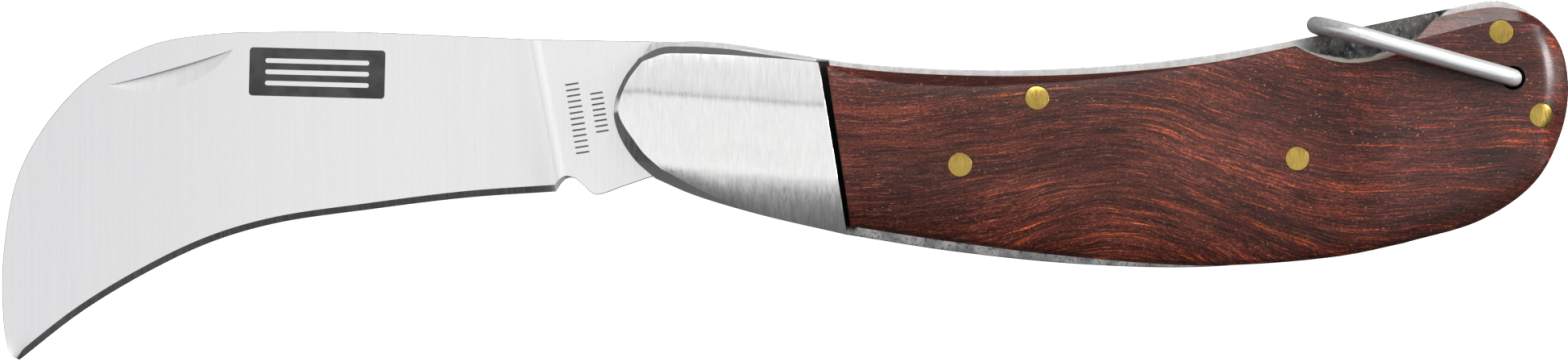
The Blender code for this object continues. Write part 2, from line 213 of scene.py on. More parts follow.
def bump_between(value, start, full, fading, end):
    """0 outside start and end, 1 between full and fading."""
    return float(step(value, start, full) * (1 - step(value, fading, end)))


def at_share(curve, share):
    """The point at a share of a curve's points."""
    place = (len(curve) - 1) * share
    low = min(int(place), len(curve) - 2)
    return curve[low].lerp(curve[low + 1], place - low)


SPINE = smooth([
    (0.4, 8.2), (4.0, 7.95), (11.5, 6.8), (19.0, 5.6), (33.9, 4.8), (48.9, 5.3), (60.0, 6.5), (71.3, 8.5),
    (87.7, 11.85),
])
BUTT_CAP = smooth([(87.7, 11.85), (90.9, 12.55), (93.7, 12.8), (97.1, 11.6), (99.6, 9.5), (100.7, 7.6)])
STEEL_BUTT = smooth([(100.7, 7.6), (101.1, 3.4), (100.3, -2.2), (97.0, -8.0), (91.5, -12.0), (82.4, -14.9)])
STEEL_BELLY = smooth([(82.4, -14.9), (75.0, -16.4), (60.0, -18.0), (45.1, -17.7), (30.2, -16.2), (18.1, -14.3)])
BOLSTER_BELLY = smooth([(18.1, -14.3), (7.8, -11.9), (0.3, -9.65), (-4.0, -7.8)])
BOLSTER_NOSE = smooth([(-4.0, -7.8), (-6.5, -5.5), (-8.3, -2.5), (-8.8, 0.3), (-7.7, 3.6), (-5.9, 6.1)])
BOLSTER_REAR = ((14.8, 5.65), (18.1, -14.3))
SCALE_FRONT = ((18.5, -13.3), (15.72, 5.3))


def liner_outline():
    """The liner. Its top drops a little over the bolster, where the backspring shows above it."""
    nose = [p * 0.985 for p in BOLSTER_NOSE]
    tip = straight((-4.6, 7.85), SPINE[0])
    spine = [p - Vector((0, LINER_DROP * bump_between(p.x, 1.0, 5.0, 12.0, 16.5))) for p in SPINE]
    return [*tip, *spine, *BUTT_CAP[1:], *STEEL_BUTT[1:], *STEEL_BELLY[1:], *BOLSTER_BELLY[1:-1], *nose]


def bolster_runs():
    """The bolster's outline as its shaped run and the straight cut behind."""
    top = smooth([(-5.9, 6.1), (-3.5, 7.3), (-0.6, 7.45), (4.0, 7.2), (9.4, 6.4), BOLSTER_REAR[0]])
    return [*BOLSTER_BELLY, *BOLSTER_NOSE[1:-1], *top], straight(*BOLSTER_REAR)[1:]


def scale_runs():
    """The scale's outline as its shaped run and the straight cut in front."""
    top = smooth([
        SCALE_FRONT[1], (22.7, 4.55), (32.1, 4.1), (41.4, 4.1), (50.8, 4.6), (60.1, 5.6), (69.4, 7.4),
        (87.0, 11.0),
    ])
    butt = smooth([
        (87.0, 11.0), (90.9, 11.8), (93.7, 12.0), (97.3, 11.1), (100.4, 8.2),
        (101.6, 3.3), (100.8, -2.5), (97.5, -8.4), (91.5, -12.6), (82.5, -15.3),
    ])
    belly = smooth([(82.5, -15.3), (75.0, -16.8), (60.1, -17.85), (45.1, -16.9), (30.2, -15.1), SCALE_FRONT[0]])
    return [*top, *butt[1:], *belly[1:]], straight(*SCALE_FRONT)[1:]


def notch_outline():
    """The cut through the scale in which the bail's bend lies."""
    low = smooth([(69.3, 7.9), (72.1, 6.5), (74.6, 5.75), (77.3, 5.6), (81.4, 6.5), (83.8, 8.2)], 0.25)
    return [Vector((66.0, 9.3)), *low, Vector((86.4, 11.0)), Vector((88.8, 14.0)), Vector((66.0, 14.0))]


def spring_outline():
    """The backspring: a spine and butt shared with the liner, and a belly that thins under the bend."""
    belly = smooth([
        (0.4, 6.1), (14.3, 4.44), (20.0, 3.0), (30.0, 1.6), (36.0, -0.8), (40.0, -1.7), (44.0, -0.9), (52.0, 1.6),
        (60.0, 2.6), (72.0, 4.7), (79.0, 5.4), (83.5, 3.0), (85.6, -1.0), (87.2, -6.0), (91.2, -10.6),
    ])
    tail = [p for p in STEEL_BUTT if p.y > -11.0]
    return [*belly, *reversed(tail), *reversed(BUTT_CAP[:-1]), *reversed(SPINE[:-1])]


# ---- heights of the covers

def crown(x, y):
    """How far a cover's face stands from the middle plane, away from its rim."""
    ridge = np.interp(x, *zip(*CROWN_LINE))
    thick = COVER_OUT - (COVER_OUT - BUTT_OUT) * step(x, *SWELL)
    off = (y - ridge) / CROWN_SPREAD
    return np.minimum(COVER_OUT, COVER_IN + (thick - COVER_IN) * (1 + CROWN_RISE - off * off))


def ridge_side(x, y, reach):
    """0 on the belly side of the crown's ridge, 1 on the spine side."""
    return step(y - np.interp(x, *zip(*CROWN_LINE)), -reach, reach)


def bolster_rim(x, y):
    """Width and slope of the bolster's chamfer, then reach and strength of its softening.

    The chamfer is widest under the nose, steep along the top and runs out towards the cut behind.
    """
    upper = ridge_side(x, y, 2.0)
    top = 0.08 + 0.74 * (1 - step(x, 1.5, 14.0)) - 0.3 * (1 - step(x, -6.0, -3.5))
    belly = 0.08 + 1.2 * (1 - step(x, -4.0, 8.0))
    fade = 1 - step(x, 4.0, 12.0)
    slope = 0.9 + 0.9 * upper * step(x, -6.0, -3.5)
    return upper * top + (1 - upper) * belly, slope, 1.4, 0.03 * fade


def scale_rim(x, y):
    """The same for the scale: crisp and wide round the butt's top, soft at its end and narrow on the belly."""
    upper = ridge_side(x, y, 2.0)
    end = step(x, 95.0, 100.5) * step(y, -9.0, -3.0)
    butt = step(x, 80.0, 84.0) * (1 - end)
    width = (1 - upper) * 0.5 + upper * np.interp(x, *zip(*TOP_FACET))
    width = width * (1 - end) + 0.25 * end
    return width, 0.8 - 0.45 * upper * butt, 1.6 + 2.2 * end, (0.05 + 0.075 * end) * (1 - 0.8 * upper * butt)


def xy_of(points):
    """The points' x and y as two arrays."""
    return (np.array([p[k] for p in points]) for k in (0, 1))


def to_line(x, y, line):
    """Distance from points to the nearest stretch of a line."""
    points = np.array([tuple(p) for p in line])
    a, ab = points[:-1], np.diff(points, axis=0)
    p = np.stack([x, y], axis=-1)[:, None, :]
    t = np.clip(((p - a) * ab).sum(-1) / (ab * ab).sum(-1), 0, 1)
    return np.linalg.norm(p - (a + t[..., None] * ab), axis=-1).min(axis=1)


def within(x, y, outline):
    """Whether points lie inside a closed outline."""
    a = np.array([tuple(p) for p in outline])
    b = np.roll(a, -1, axis=0)
    crossing = (a[:, 1] > y[:, None]) != (b[:, 1] > y[:, None])
    rise = np.where(a[:, 1] == b[:, 1], 1e-9, b[:, 1] - a[:, 1])
    meets = a[:, 0] + (y[:, None] - a[:, 1]) / rise * (b[:, 0] - a[:, 0])
    return (crossing & (x[:, None] < meets)).sum(1) % 2 == 1


def face_height(x, y, runs, rim):
    """The finished height of a cover at points inside its outline."""
    shaped, cut = runs
    inset = to_line(x, y, shaped)
    width, slope, reach, soft = rim(x, y)
    drop = np.maximum(0, width - inset) * slope + soft * np.maximum(0, width + reach - inset) ** 2
    drop += np.maximum(0, CUT_BREAK - to_line(x, y, [shaped[-1], *cut, shaped[0]])) * CUT_SLOPE
    return np.maximum(crown(x, y) - drop, COVER_IN + COVER_WALL)


# ---- modelling by hand

def nothing_selected():
    """Leaves edit mode and deselects everything."""
    if bpy.context.object and bpy.context.object.mode != "OBJECT":
        bpy.ops.object.mode_set(mode="OBJECT")
    bpy.ops.object.select_all(action="DESELECT")


def only(piece):
    """Selects one piece and makes it active."""
    nothing_selected()
    piece.select_set(True)
    bpy.context.view_layer.objects.active = piece


def added(name, data):
    """A new object in the scene."""
    made = bpy.data.objects.new(name, data)
    bpy.context.scene.collection.objects.link(made)
    return made


def named(name):
    """Names the piece just added, and its mesh."""
    piece = bpy.context.object
    piece.name = name
    piece.data.name = name
    return piece


def edit(piece, action="SELECT"):
    """Opens a piece in edit mode with all of its points selected, or none."""
    only(piece)
    bpy.ops.object.mode_set(mode="EDIT")
    bpy.ops.mesh.select_mode(type="VERT")
    bpy.ops.mesh.select_all(action=action)


def done():
    """Closes edit mode."""
    bpy.ops.object.mode_set(mode="OBJECT")


def outward(piece, merge=0.0):
    """Merges a piece's points that lie closer than a distance and turns its faces outward."""
    edit(piece)
    if merge:
        bpy.ops.mesh.remove_doubles(threshold=merge)
    bpy.ops.mesh.normals_make_consistent(inside=False)
    done()


def pick(piece, kind, test):
    """Opens a piece in edit mode with those edges or faces selected whose points' heights pass the test."""
    edit(piece, "DESELECT")
    bpy.ops.mesh.select_mode(type=kind)
    done()
    mesh = piece.data
    for part in mesh.edges if kind == "EDGE" else mesh.polygons:
        part.select = test([mesh.vertices[i].co.z for i in part.vertices])
    bpy.ops.object.mode_set(mode="EDIT")


def laid_out(name, outline, z):
    """A filled disc whose rim is pulled onto the outline."""
    nothing_selected()
    bpy.ops.mesh.primitive_circle_add(vertices=len(outline), radius=1.0, fill_type="NGON")
    piece = named(name)
    for vertex, point in zip(piece.data.vertices, outline):
        vertex.co = (point[0], point[1], z)
    return piece


def plate(name, outline, low, high):
    """A flat plate of the outline between two heights."""
    piece = laid_out(name, outline, low)
    edit(piece)
    bpy.ops.mesh.extrude_region_move(TRANSFORM_OT_translate={"value": (0, 0, high - low)})
    outward(piece)
    return piece


def bar(name, centre, radius, low, high, look=None):
    """A round bar along z."""
    nothing_selected()
    bpy.ops.mesh.primitive_cylinder_add(
        vertices=ROUND_STEPS, radius=radius, depth=high - low, location=(centre[0], centre[1], (low + high) / 2))
    piece = named(name)
    bpy.ops.object.transform_apply(location=True, rotation=True, scale=True)
    if look:
        coated(piece, look)
    return piece


def carve(piece, *tools):
    """Cuts tools out of a piece and removes them."""
    for tool in tools:
        modifier = piece.modifiers.new("carve", "BOOLEAN")
        modifier.operation = "DIFFERENCE"
        modifier.solver = "EXACT"
        modifier.material_mode = "TRANSFER"
        modifier.object = tool
        only(piece)
        bpy.ops.object.modifier_apply(modifier=modifier.name)
        bpy.data.objects.remove(tool)


def bevel_where(piece, test, width):
    """Rounds the edges whose points' heights pass the test."""
    pick(piece, "EDGE", test)
    bpy.ops.mesh.bevel(offset=width, segments=2, profile=0.5, clamp_overlap=True)
    done()


def mirrored(piece, name):
    """A copy of a piece on the other side of the middle plane."""
    nothing_selected()
    twin = added(name, piece.data.copy())
    twin.data.name = name
    edit(twin)
    bpy.ops.transform.resize(value=(1, 1, -1), center_override=(0, 0, 0))
    bpy.ops.mesh.flip_normals()
    done()
    return twin


def coated(piece, *looks):
    """Gives a piece its materials."""
    piece.data.materials.clear()
    for look in looks:
        piece.data.materials.append(look)


def settle(piece, body, node, angle=24):
    """Shades a piece, takes it from the pivot frame to its real place and hands it to the frame."""
    only(piece)
    bpy.ops.object.shade_smooth_by_angle(angle=math.radians(angle))
    piece.data.transform(Matrix.Translation(PIVOT) @ Matrix.Scale(MM, 4))
    piece.data.update()
    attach(piece, body)
    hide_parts(node)


def settle_both(piece, node, angle=24):
    """Settles a handle piece on the marked side and its twin on the back."""
    twin = mirrored(piece, f"{piece.name}_back")
    settle(piece, "handle", f"front_{node}", angle)
    settle(twin, "handle", f"back_{node}", angle)


# ---- shader building

def new_material(name):
    """A new material, its main shader and the place on the object, in metres."""
    made = bpy.data.materials.new(name)
    made.use_nodes = True
    place = add(made.node_tree, "ShaderNodeTexCoord").outputs["Object"]
    return made, made.node_tree.nodes["Principled BSDF"], place


def fill(node, **inputs):
    """Fills a node's inputs, given by name or as i0, i1 by number: a socket is linked and a value is set."""
    for key, value in inputs.items():
        numbered = key[0] == "i" and key[1:].isdigit()
        socket = node.inputs[int(key[1:]) if numbered else key.replace("_", " ")]
        if isinstance(value, bpy.types.NodeSocket):
            node.id_data.links.new(value, socket)
        else:
            socket.default_value = value
    return node


def add(tree, kind, settings=None, **inputs):
    """A shader node with its settings and inputs."""
    made = tree.nodes.new(kind)
    for key, value in (settings or {}).items():
        setattr(made, key, value)
    return fill(made, **inputs)


def tree_of(*values):
    """The tree in which the first socket among some values lies."""
    return next(value.id_data for value in values if isinstance(value, bpy.types.NodeSocket))


def maths(operation, a, b=0.0):
    """One or two values put through an operation."""
    return add(tree_of(a, b), "ShaderNodeMath", {"operation": operation}, i0=a, i1=b).outputs[0]


def times(a, b):
    """The product of two values."""
    return maths("MULTIPLY", a, b)


def plus(a, b):
    """The sum of two values."""
    return maths("ADD", a, b)


def minus(a, b):
    """The difference of two values."""
    return maths("SUBTRACT", a, b)


def ranged(value, low, high, to_low=0.0, to_high=1.0):
    """A value taken smoothly from one range to another."""
    made = add(tree_of(value), "ShaderNodeMapRange", {"interpolation_type": "SMOOTHSTEP"}, Value=value)
    return fill(made, From_Min=low, From_Max=high, To_Min=to_low, To_Max=to_high).outputs["Result"]


def blend(share, a, b, kind="MIX"):
    """Two colours mixed by a share."""
    a, b = (c if isinstance(c, bpy.types.NodeSocket) else (*c, 1) for c in (a, b))
    settings = {"data_type": "RGBA", "blend_type": kind}
    return add(tree_of(share, a, b), "ShaderNodeMix", settings, i0=share, i6=a, i7=b).outputs[2]


def stretched(vector, scale):
    """A place scaled along each axis."""
    return add(tree_of(vector), "ShaderNodeVectorMath", {"operation": "MULTIPLY"}, i0=vector, i1=scale).outputs[0]


def noise(vector, detail, roughness=0.55):
    """Noise from 0 to 1, one lump to each unit of the vector."""
    tree = tree_of(vector)
    return add(tree, "ShaderNodeTexNoise", Vector=vector, Scale=1.0, Detail=detail, Roughness=roughness).outputs[0]


def new_group(name, inputs, outputs):
    """An empty node group with named sockets. Returns it with its input and output nodes."""
    group = bpy.data.node_groups.new(name, "ShaderNodeTree")
    for direction, sockets in (("INPUT", inputs), ("OUTPUT", outputs)):
        for label, kind, value in sockets:
            socket = group.interface.new_socket(name=label, in_out=direction, socket_type=f"NodeSocket{kind}")
            if value is not None:
                socket.default_value = value
    return group, group.nodes.new("NodeGroupInput").outputs, group.nodes.new("NodeGroupOutput")


def use(group, **inputs):
    """The outputs of a node group with its inputs filled."""
    return add(tree_of(*inputs.values()), "ShaderNodeGroup", {"node_tree": group}, **inputs).outputs


def brushing_group():
    """Fine ground lines: a value and a height that are stretched along one direction."""
    group, given, out = new_group(
        "brushing",
        [("Vector", "Vector", None), ("Stretch", "Vector", (4000, 150, 150))],
        [("Value", "Float", None), ("Height", "Float", None)],
    )
    coarse = stretched(given["Vector"], given["Stretch"])
    first = noise(coarse, 4.0, 0.7)
    finer = stretched(coarse, (2.7, 1.3, 1.3))
    second = noise(finer, 2.0, 0.6)
    both = plus(times(first, 0.6), times(second, 0.4))
    fill(out, Value=both, Height=second)
    return group


def pitting_group():
    """Pits and blotches of old steel: a mask of dark spots, cloudy patches and a height."""
    group, given, out = new_group(
        "pitting",
        [("Vector", "Vector", None), ("Size", "Float", 2500.0), ("Amount", "Float", 0.5)],
        [("Pits", "Float", None), ("Clouds", "Float", None), ("Height", "Float", None)],
    )
    place = given["Vector"]
    fine = add(group, "ShaderNodeTexNoise", Vector=place, Scale=given["Size"], Detail=5.0, Roughness=0.65)
    clouds = add(group, "ShaderNodeTexNoise", Vector=place, Scale=350.0, Detail=4.0, Roughness=0.6)
    level = plus(fine.outputs["Fac"], times(given["Amount"], 0.25))
    pits = ranged(level, 0.66, 0.78)
    fill(out, Pits=pits, Clouds=ranged(clouds.outputs["Fac"], 0.35, 0.65))
    fill(out, Height=minus(fine.outputs["Fac"], pits))
    return group


BRUSHING = brushing_group()
PITTING = pitting_group()


def in_millimetres(place):
    """A place in metres as its x, y and z in millimetres."""
    return add(tree_of(place), "ShaderNodeSeparateXYZ", Vector=stretched(place, (1 / MM,) * 3)).outputs[:3]


def home_of(place):
    """The place in the pivot frame, in millimetres, as x and y."""
    less = {"operation": "SUBTRACT"}
    home = add(tree_of(place), "ShaderNodeVectorMath", less, i0=place, i1=tuple(PIVOT)).outputs[0]
    return in_millimetres(home)[:2]


def bumped(shader, height, distance, strength=1.0):
    """Leads a height into the shader's normal."""
    bump = add(tree_of(height), "ShaderNodeBump", Height=height, Distance=distance, Strength=strength)
    fill(shader, Normal=bump.outputs["Normal"])


def ground_steel(name, colour, rough, stretch, contrast, depth, pits=0.0, metal=1.0, turn=0.0, waves=0.0):
    """Steel with ground lines, faint clouds and, where asked, pits and the waves that a grinding belt leaves."""
    made, shader, place = new_material(name)
    if turn:
        about_z = {"rotation_type": "Z_AXIS"}
        spun = add(tree_of(place), "ShaderNodeVectorRotate", about_z, Vector=place, Angle=math.radians(turn))
        place = spun.outputs[0]
    lines = use(BRUSHING, Vector=place, Stretch=stretch)
    old = use(PITTING, Vector=place, Amount=pits)
    low = tuple(c * (1 - contrast) for c in colour)
    high = tuple(min(1.0, c * (1 + contrast)) for c in colour)
    tone = blend(ranged(lines["Value"], 0.3, 0.7), low, high)
    tone = blend(times(old["Clouds"], 0.10 + 0.3 * pits), tone, tuple(c * 0.72 for c in colour))
    if pits:
        tone = blend(times(old["Pits"], 0.8), tone, (0.05, 0.05, 0.055))
    uneven = ranged(lines["Value"], 0.25, 0.75, rough - 0.04, rough + 0.06)
    fill(shader, Base_Color=tone, Metallic=metal, Roughness=uneven)
    height = plus(lines["Height"], times(old["Height"], pits))
    if waves:
        belt = noise(stretched(place, (1900.0, 270.0, 270.0)), 2.0)
        height = plus(height, times(belt, waves))
    bumped(shader, height, depth * MM)
    return made


def liner_steel_look():
    """Liner steel: bright on top and pitted along the belly, with painted shade dark in the notch, a painted
    highlight along the notch's rim and painted black shade in the gap between bolster and scale.
    """
    made, shader, place = new_material("pitted_liner_steel")
    x, y = home_of(place)
    lines = use(BRUSHING, Vector=place, Stretch=(1200.0, 1200.0, 1200.0))
    old = use(PITTING, Vector=place, Size=3000.0, Amount=0.5)
    belly = ranged(y, 2.0, -6.0)
    tone = blend(ranged(lines["Value"], 0.35, 0.65), (0.52, 0.515, 0.51), (0.66, 0.65, 0.64))
    worn = blend(old["Clouds"], (0.34, 0.34, 0.345), (0.80, 0.79, 0.78))
    worn = blend(times(old["Pits"], 0.8), worn, (0.06, 0.06, 0.065))
    tone = blend(belly, tone, worn)

    # Painted shade in the notch: the liner is painted dark as the shade of the ground scoop under the bail's bend.
    sag = minus(x, 76.3)
    lip = plus(times(times(sag, sag), 0.043), 5.6)
    inside = minus(y, lip)
    ragged = plus(inside, times(minus(old["Clouds"], 0.5), 0.25))
    painted_scoop_shade = times(ranged(ragged, 0.25, 0.6), ranged(x, 68.5, 72.5))
    painted_scoop_shade = times(painted_scoop_shade, ranged(x, 90.0, 87.0))
    scoop_shade_tone = blend(old["Clouds"], (0.018, 0.021, 0.027), (0.10, 0.097, 0.093))
    scoop_shade_tone = blend(ranged(lines["Value"], 0.5, 0.62), scoop_shade_tone, (0.17, 0.165, 0.15))
    # Painted highlight: a light band along the notch's edge by the wood, as the lit rim of the scoop.
    rim = times(ranged(inside, 0.65, 0.3), ranged(x, 69.0, 71.0))
    rim = times(rim, ranged(x, 86.5, 84.5))
    tone = blend(rim, tone, (0.50, 0.46, 0.39))
    tone = blend(painted_scoop_shade, tone, scoop_shade_tone)

    # Painted shade: the liner is painted black and dull along the gap between bolster and scale, where shade falls
    # in the joint.
    across = minus(x, times(minus(5.5, y), 0.1667))
    aside = maths("ABSOLUTE", minus(across, 15.35))
    painted_shade = times(ranged(aside, 0.85, 0.65), ranged(y, 6.2, 5.7))
    painted_shade = times(painted_shade, ranged(y, -14.1, -13.2))
    tone = blend(painted_shade, tone, (0.003, 0.003, 0.003))
    fill(shader, Base_Color=tone, Metallic=minus(1.0, painted_shade))
    rough = plus(ranged(lines["Value"], 0.3, 0.7, 0.32, 0.42), times(painted_scoop_shade, 0.15))
    fill(shader, Roughness=maths("MAXIMUM", rough, painted_shade))
    height = plus(lines["Height"], times(old["Height"], belly))
    bumped(shader, height, 0.008 * MM)
    return made


def blade_look():
    """Blade steel: ground across, a little brighter by the tang, with a painted highlight and a painted shade line
    where the grind runs out.
    """
    made, shader, place = new_material("ground_blade_steel")
    x, y = home_of(place)
    lines = use(BRUSHING, Vector=place, Stretch=(3000.0, 38.0, 38.0))
    broad = use(BRUSHING, Vector=place, Stretch=(650.0, 12.0, 12.0))
    mixed = plus(times(lines["Value"], 0.7), times(broad["Value"], 0.3))
    tone = blend(ranged(mixed, 0.34, 0.66), (0.80, 0.80, 0.81), (0.885, 0.885, 0.89))
    far = ranged(x, -30.0, -80.0, 0.0, 0.9)
    tone = blend(far, tone, (0.76, 0.76, 0.775))
    across = plus(x, times(y, 0.188))
    near_tang = ranged(across, -18.2, -16.6, 0.0, 0.55)
    tone = blend(near_tang, tone, (0.93, 0.93, 0.935))
    # Painted highlight along the plunge's ridge, and a thin painted shade line in front of it.
    ridge = maths("ABSOLUTE", minus(across, -16.2))
    tone = blend(ranged(ridge, 0.5, 0.1), tone, (0.98, 0.98, 0.98))
    plunge_shade_line = maths("ABSOLUTE", minus(across, -17.0))
    tone = blend(ranged(plunge_shade_line, 0.28, 0.05, 0.0, 0.3), tone, (0.62, 0.62, 0.63))
    fill(shader, Base_Color=tone, Metallic=1.0, Roughness=ranged(lines["Value"], 0.25, 0.75, 0.24, 0.34))
    bumped(shader, lines["Height"], 0.004 * MM)
    return made


def dark_hole():
    """The inside of the bail's hole: painted shade, near black with faint clouds."""
    made, shader, place = new_material("painted_hole_shade")
    old = use(PITTING, Vector=place, Size=2500.0, Amount=0.2)
    tone = blend(old["Clouds"], (0.004, 0.003, 0.003), (0.014, 0.011, 0.010))
    fill(shader, Base_Color=tone, Roughness=ranged(old["Clouds"], 0.0, 1.0, 0.8, 0.95))
    bumped(shader, old["Height"], 0.02 * MM)
    return made


def stamp_grey_and_nick_shade():
    """The floor of the stamped strokes: steel gone grey. The same grey is painted on the nail nick's wall as
    shade.
    """
    made, shader, place = new_material("stamped_grey_and_nick_shade")
    old = use(PITTING, Vector=place, Size=5000.0, Amount=0.3)
    tone = blend(old["Clouds"], (0.10, 0.10, 0.10), (0.24, 0.24, 0.24))
    fill(shader, Base_Color=tone, Metallic=0.6, Roughness=ranged(old["Clouds"], 0.0, 1.0, 0.4, 0.6))
    bumped(shader, old["Height"], 0.006 * MM)
    return made


def etched_steel():
    """The etched panel: steel gone nearly black."""
    made, shader, place = new_material("etched_dark")
    old = use(PITTING, Vector=place, Size=6000.0, Amount=0.2)
    tone = blend(old["Clouds"], (0.030, 0.030, 0.030), (0.058, 0.058, 0.057))
    fill(shader, Base_Color=tone, Metallic=0.3, Roughness=ranged(old["Clouds"], 0.0, 1.0, 0.5, 0.65))
    bumped(shader, old["Height"], 0.004 * MM)
    return made


def brass():
    """Brass filed flush with the wood, a little tarnished."""
    made, shader, place = new_material("pin_brass")
    lines = use(BRUSHING, Vector=place, Stretch=(5200.0, 900.0, 900.0))
    old = use(PITTING, Vector=place, Size=3200.0, Amount=0.3)
    tone = blend(ranged(lines["Value"], 0.3, 0.7), (0.40, 0.27, 0.060), (0.56, 0.40, 0.108))
    tone = blend(times(old["Clouds"], 0.35), tone, (0.35, 0.21, 0.048))
    tone = blend(times(old["Pits"], 0.6), tone, (0.16, 0.09, 0.03))
    fill(shader, Base_Color=tone, Metallic=1.0, Roughness=ranged(lines["Value"], 0.3, 0.7, 0.22, 0.34))
    bumped(shader, lines["Height"], 0.012 * MM)
    return made


WOOD_DARK = (0.0510, 0.0093, 0.0060)
WOOD_MID = (0.1110, 0.0270, 0.0186)
WOOD_RED = (0.1560, 0.0336, 0.0198)
WOOD_LIGHT = (0.2280, 0.0690, 0.0468)
WOOD_ORANGE = (0.3720, 0.0750, 0.0240)
# the colour of the veins and dashes, and of the painted shade along the scale's top edge
WOOD_VEIN_AND_SHADE = (0.0288, 0.0060, 0.0048)
# resin specks, with a painted highlight of their glints
WOOD_RESIN_GLINT = (0.4200, 0.1980, 0.0900)


def bent_grain(place):
    """Coordinates that follow the board's grain, in millimetres: along it, across it and into it."""
    x, y, z = in_millimetres(place)
    reach = maths("DIVIDE", minus(x, 38.0), 13.5)
    hump = maths("EXPONENT", times(times(reach, reach), -1.0))
    swell = plus(3.3, times(minus(4.0, y), 0.17))
    slide = ranged(x, 40.0, 68.0, 0.0, 4.2)
    lift = minus(times(hump, swell), slide)
    wander = noise(stretched(place, (70.0, 120.0, 90.0)), 2.0)
    wander = times(minus(wander, 0.5), 2.6)
    across = plus(minus(y, lift), wander)
    return add(tree_of(across), "ShaderNodeCombineXYZ", X=x, Y=across, Z=z).outputs[0], x, y


def hardwood():
    """Oiled red-brown hardwood: fibres and growth lines that bend over a hump, dark and orange streaks, specks
    painted bright as resin glints, and painted shade along the top edge.
    """
    made, shader, place = new_material("streaked_hardwood")
    grain, x, y = bent_grain(place)
    fibres = noise(stretched(grain, (0.26, 4.6, 1.2)), 6.0, 0.78)
    growth = noise(stretched(grain, (0.02, 0.8, 0.25)), 4.0, 0.62)
    lines = noise(stretched(grain, (0.06, 2.9, 0.7)), 4.0, 0.6)
    veins = noise(stretched(grain, (0.14, 3.4, 0.9)), 4.0, 0.62)
    dashes = noise(stretched(grain, (0.9, 6.5, 2.2)), 3.0, 0.6)
    grit = noise(stretched(grain, (3.0, 9.0, 4.0)), 2.0, 0.6)
    specks = noise(stretched(grain, (3.0, 5.5, 4.0)), 0.0, 0.5)
    figured = ranged(x, 14.0, 30.0, 0.35, 1.0)
    clouds = noise(stretched(grain, (0.07, 0.16, 0.1)), 2.0)
    tone = blend(ranged(fibres, 0.42, 0.58), WOOD_DARK, WOOD_MID)
    tone = blend(times(ranged(growth, 0.42, 0.62), 0.55), tone, WOOD_RED)
    tone = blend(times(ranged(fibres, 0.54, 0.68), 0.85), tone, WOOD_LIGHT)
    glow = times(ranged(lines, 0.55, 0.66), ranged(fibres, 0.38, 0.58))
    glow = times(glow, ranged(growth, 0.40, 0.56, 0.2, 1.0))
    tone = blend(times(glow, figured), tone, WOOD_ORANGE)
    shade = times(ranged(veins, 0.46, 0.34), figured)
    tone = blend(times(shade, 0.85), tone, WOOD_VEIN_AND_SHADE)
    tone = blend(times(ranged(dashes, 0.42, 0.28), 0.8), tone, WOOD_VEIN_AND_SHADE)
    tone = blend(times(ranged(dashes, 0.58, 0.74), 0.75), tone, WOOD_LIGHT)
    tone = blend(1.0, tone, ranged(grit, 0.36, 0.64, 0.55, 1.45), "MULTIPLY")
    tone = blend(1.0, tone, ranged(clouds, 0.36, 0.62, 0.74, 1.12), "MULTIPLY")
    tone = add(tree_of(tone), "ShaderNodeGamma", Color=tone, Gamma=1.45).outputs[0]
    tone = blend(1.0, tone, (2.15, 4.0, 4.75), "MULTIPLY")
    tone = blend(ranged(x, 40.0, 75.0), tone, (0.80, 0.66, 0.66), "MULTIPLY")
    # Painted shade: a dark band along the scale's top edge, where the rounded edge turns away from the light.
    off = minus(x, 26.2)
    edge = plus(times(times(off, off), 0.0028), 12.12)
    below = minus(edge, y)
    top = times(ranged(below, 1.35, 1.1), ranged(x, 6.0, 12.0))
    top = times(top, ranged(x, 50.0, 38.0))
    tone = blend(times(top, 0.55), tone, WOOD_VEIN_AND_SHADE)
    # Resin specks: their bright orange is partly their own colour and partly a painted highlight of their glints.
    tone = blend(times(ranged(specks, 0.76, 0.86), 0.7), tone, WOOD_RESIN_GLINT)
    fill(shader, Base_Color=tone, Coat_Weight=ranged(x, 66.0, 72.0, 0.0, 0.4), Coat_Roughness=0.22)
    fill(shader, Roughness=ranged(fibres, 0.3, 0.7, 0.44, 0.32), Specular_IOR_Level=0.30)
    relief = plus(fibres, times(ranged(dashes, 0.28, 0.42), 0.5))
    bumped(shader, relief, 0.03 * MM, 0.7)
    return made


# ---- the blade

def blade_columns():
    """The blade from tip to tang as pairs of spine and edge points, with the share of the tang reached at each."""
    spine = smooth([
        (-79.2, -28.3), (-79.8, -24.4), (-79.75, -16.0), (-77.6, -6.2), (-70.8, 3.1), (-63.0, 7.6), (-55.9, 8.95),
        (-48.3, 9.25), (-38.0, 9.2), (-27.0, 8.75), (-17.9, 8.35),
    ])
    edge = smooth([
        (-78.0, -28.85), (-70.9, -23.35), (-63.3, -18.75), (-55.8, -15.2), (-48.3, -13.0),
        (-37.1, -11.35), (-25.9, -10.0), (-15.7, -9.3),
    ])
    shares = [i / BLADE_COLUMNS for i in range(BLADE_COLUMNS + 1)]
    pairs = [(at_share(spine, share), at_share(edge, share), 0.0) for share in shares]
    choil = smooth([
        (-15.7, -9.3), (-15.2, -8.5), (-14.5, -7.8), (-13.6, -7.7), (-12.5, -8.5), (-11.7, -9.3), (-10.9, -9.65),
        (-7.6, -8.6), (-4.0, -7.45), (0.0, -6.85), (3.4, -6.0),
    ], 0.3)
    tang_front, tang_back = Vector((-17.9, 8.35)), Vector((3.4, 8.0))
    for low in choil[1:]:
        passed = low.x - choil[0].x
        high = tang_front.lerp(tang_back, min(1.0, passed / (choil[-1].x - choil[0].x)))
        if high.x > TANG_STEP[0]:
            high.y = TANG_STEP[1]
        pairs.append((high, low, min(1.0, passed / TANG_RUN)))
    for i in range(1, TANG_STEPS + 1):
        turn = math.radians(TANG_TURN * (1 - i / TANG_STEPS))
        x, y = TANG_RADIUS * math.cos(turn), TANG_RADIUS * math.sin(turn)
        pairs.append((Vector((x, y)), Vector((x, -y - 0.02)), 1.0))
    return pairs


